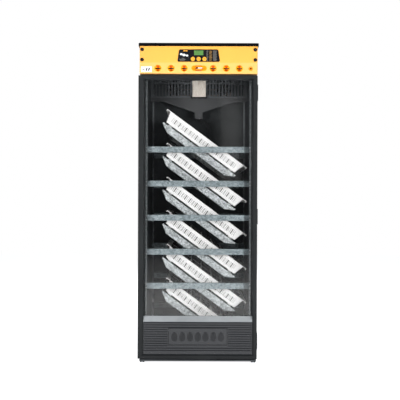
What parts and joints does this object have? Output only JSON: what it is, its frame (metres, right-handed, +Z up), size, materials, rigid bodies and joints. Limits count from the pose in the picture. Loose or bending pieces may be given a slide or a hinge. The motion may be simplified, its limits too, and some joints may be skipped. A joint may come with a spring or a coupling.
{
  "type": "egg incubator",
  "caption": "Tall cabinet egg incubator with a windowed door, vents, a control panel and tilting shelves that carry white egg trays.",
  "frame": {"origin": "on the floor, in the middle of the top cover's outline", "axes": "+X to the right seen from the front, +Y to the back, +Z up; the door faces -Y"},
  "size_m": [0.566, 0.62, 1.505],
  "materials": {
    "black_plastic": "textured black moulded plastic",
    "door_plastic": "satin black moulded plastic",
    "yellow_plastic": "gloss yellow moulded plastic",
    "amber_plastic": "gloss amber plastic",
    "clear_plastic": "clear plastic",
    "white_plastic": "white moulded plastic",
    "gloss_black": "gloss black",
    "screen": "green liquid crystal screen",
    "circuit_board": "green laminate",
    "galvanised": "galvanised sheet with spangle",
    "rack_steel": "grey zinc plate",
    "bright_steel": "bright steel",
    "grey_panel": "dark grey paint",
    "grille_black": "black paint",
    "pad_fibre": "beige wicking fibre",
    "heater_sheath": "heat-dulled steel",
    "seal_rubber": "black rubber"
  },
  "bodies": {
    "cabinet": {"left_side_panel": "black_plastic", "right_side_panel": "black_plastic", "back_panel": "black_plastic", "floor_panel": "black_plastic", "ceiling_panel": "black_plastic", "top_cover": "black_plastic", "base_plinth": "black_plastic", "glide_cups": "gloss_black", "glide_domes": "bright_steel", "header_panel": "black_plastic", "control_fascia": "yellow_plastic", "fascia_screws": "gloss_black", "vent_bezels": "amber_plastic", "display_overlay": "gloss_black", "display_screen": "screen", "control_board": "circuit_board", "light_button_bezel": "amber_plastic", "power_supply": "bright_steel", "power_inlet": "gloss_black", "hinge_cabinet_leaves": "grey_panel", "hinge_pins": "bright_steel", "rack_uprights": "galvanised", "rack_bars": "rack_steel", "rack_rivets": "bright_steel", "pivot_pins": "bright_steel", "turning_motor": "grey_panel", "drive_panel": "grey_panel", "air_grille": "grille_black", "pad_holder": "gloss_black", "evaporating_pad": "pad_fibre", "fan_motors": "grille_black", "heater_element": "heater_sheath", "water_pan": "black_plastic"},
    "door": {"door_frame": "door_plastic", "door_window": "clear_plastic", "door_inner_pane": "clear_plastic", "door_seal": "seal_rubber", "hinge_door_leaves": "grey_panel"},
    "link": {"turning_link": "bright_steel"},
    "crank": {"drive_crank": "bright_steel"},
    "fan_left": {"fan_impeller_left": "gloss_black"},
    "fan_right": {"fan_impeller_right": "gloss_black"},
    "vent_slide": {"vent_slide_plate": "grey_panel", "vent_knob": "gloss_black"},
    "minus_button": {"button_minus": "yellow_plastic"},
    "ok_button": {"button_ok": "yellow_plastic"},
    "plus_button": {"button_plus": "yellow_plastic"},
    "lamp_button": {"light_button": "gloss_black"},
    "shelf_1": {"carrier_1": "galvanised", "egg_trays_1": "white_plastic"},
    "shelf_2": {"carrier_2": "galvanised", "egg_trays_2": "white_plastic"},
    "shelf_3": {"carrier_3": "galvanised", "egg_trays_3": "white_plastic"},
    "shelf_4": {"carrier_4": "galvanised", "egg_trays_4": "white_plastic"},
    "shelf_5": {"carrier_5": "galvanised", "egg_trays_5": "white_plastic"},
    "shelf_6": {"carrier_6": "galvanised", "egg_trays_6": "white_plastic"}
  },
  "joints": [
    {"name": "door_hinge", "type": "hinge", "parent": "cabinet", "child": "door", "pos_m": [0.279, -0.273, 0.69], "axis": [0, 0, 1], "range_deg": [0, 110]},
    {"name": "shelf_tilt_1", "type": "hinge", "parent": "cabinet", "child": "shelf_1", "pos_m": [0, 0, 1.009], "axis": [0, -1, 0], "range_deg": [0, 72.6]},
    {"name": "shelf_tilt_2", "type": "hinge", "parent": "cabinet", "child": "shelf_2", "pos_m": [0, 0, 0.8456], "axis": [0, -1, 0], "range_deg": [0, 72.6]},
    {"name": "shelf_tilt_3", "type": "hinge", "parent": "cabinet", "child": "shelf_3", "pos_m": [0, 0, 0.6822], "axis": [0, -1, 0], "range_deg": [0, 72.6]},
    {"name": "shelf_tilt_4", "type": "hinge", "parent": "cabinet", "child": "shelf_4", "pos_m": [0, 0, 0.5188], "axis": [0, -1, 0], "range_deg": [0, 72.6]},
    {"name": "shelf_tilt_5", "type": "hinge", "parent": "cabinet", "child": "shelf_5", "pos_m": [0, 0, 0.3554], "axis": [0, -1, 0], "range_deg": [0, 72.6]},
    {"name": "shelf_tilt_6", "type": "hinge", "parent": "cabinet", "child": "shelf_6", "pos_m": [0, 0, 0.192], "axis": [0, -1, 0], "range_deg": [0, 72.6]},
    {"name": "link_swing", "type": "hinge", "parent": "shelf_1", "child": "link", "pos_m": [0.04836, 0.236, 0.97348], "axis": [0, -1, 0], "range_deg": [-72.6, 0]},
    {"name": "crank_turn", "type": "hinge", "parent": "cabinet", "child": "crank", "pos_m": [0, 0.2, 1.214], "axis": [0, -1, 0], "range_deg": [0, 72.6]},
    {"name": "fan_spin_left", "type": "hinge", "parent": "cabinet", "child": "fan_left", "pos_m": [-0.13, 0.122, 1.357], "axis": [0, 1, 0], "continuous": true},
    {"name": "fan_spin_right", "type": "hinge", "parent": "cabinet", "child": "fan_right", "pos_m": [0.13, 0.122, 1.357], "axis": [0, 1, 0], "continuous": true},
    {"name": "vent_slide_move", "type": "slide", "parent": "cabinet", "child": "vent_slide", "axis": [1, 0, 0], "range_m": [-0.015, 0.015]},
    {"name": "minus_press", "type": "slide", "parent": "cabinet", "child": "minus_button", "axis": [0, 1, 0], "range_m": [0, 0.001], "stiffness_N_per_m": 300, "springref_m": -0.001},
    {"name": "ok_press", "type": "slide", "parent": "cabinet", "child": "ok_button", "axis": [0, 1, 0], "range_m": [0, 0.001], "stiffness_N_per_m": 300, "springref_m": -0.001},
    {"name": "plus_press", "type": "slide", "parent": "cabinet", "child": "plus_button", "axis": [0, 1, 0], "range_m": [0, 0.001], "stiffness_N_per_m": 300, "springref_m": -0.001},
    {"name": "lamp_press", "type": "slide", "parent": "cabinet", "child": "lamp_button", "axis": [0, 1, 0], "range_m": [0, 0.0012], "stiffness_N_per_m": 300, "springref_m": -0.001}
  ],
  "couplings": [
    {"joint": "shelf_tilt_2", "follows": "shelf_tilt_1", "ratio": 1},
    {"joint": "shelf_tilt_3", "follows": "shelf_tilt_1", "ratio": 1},
    {"joint": "shelf_tilt_4", "follows": "shelf_tilt_1", "ratio": 1},
    {"joint": "shelf_tilt_5", "follows": "shelf_tilt_1", "ratio": 1},
    {"joint": "shelf_tilt_6", "follows": "shelf_tilt_1", "ratio": 1},
    {"joint": "link_swing", "follows": "shelf_tilt_1", "ratio": -1},
    {"joint": "crank_turn", "follows": "shelf_tilt_1", "ratio": 1}
  ]
}
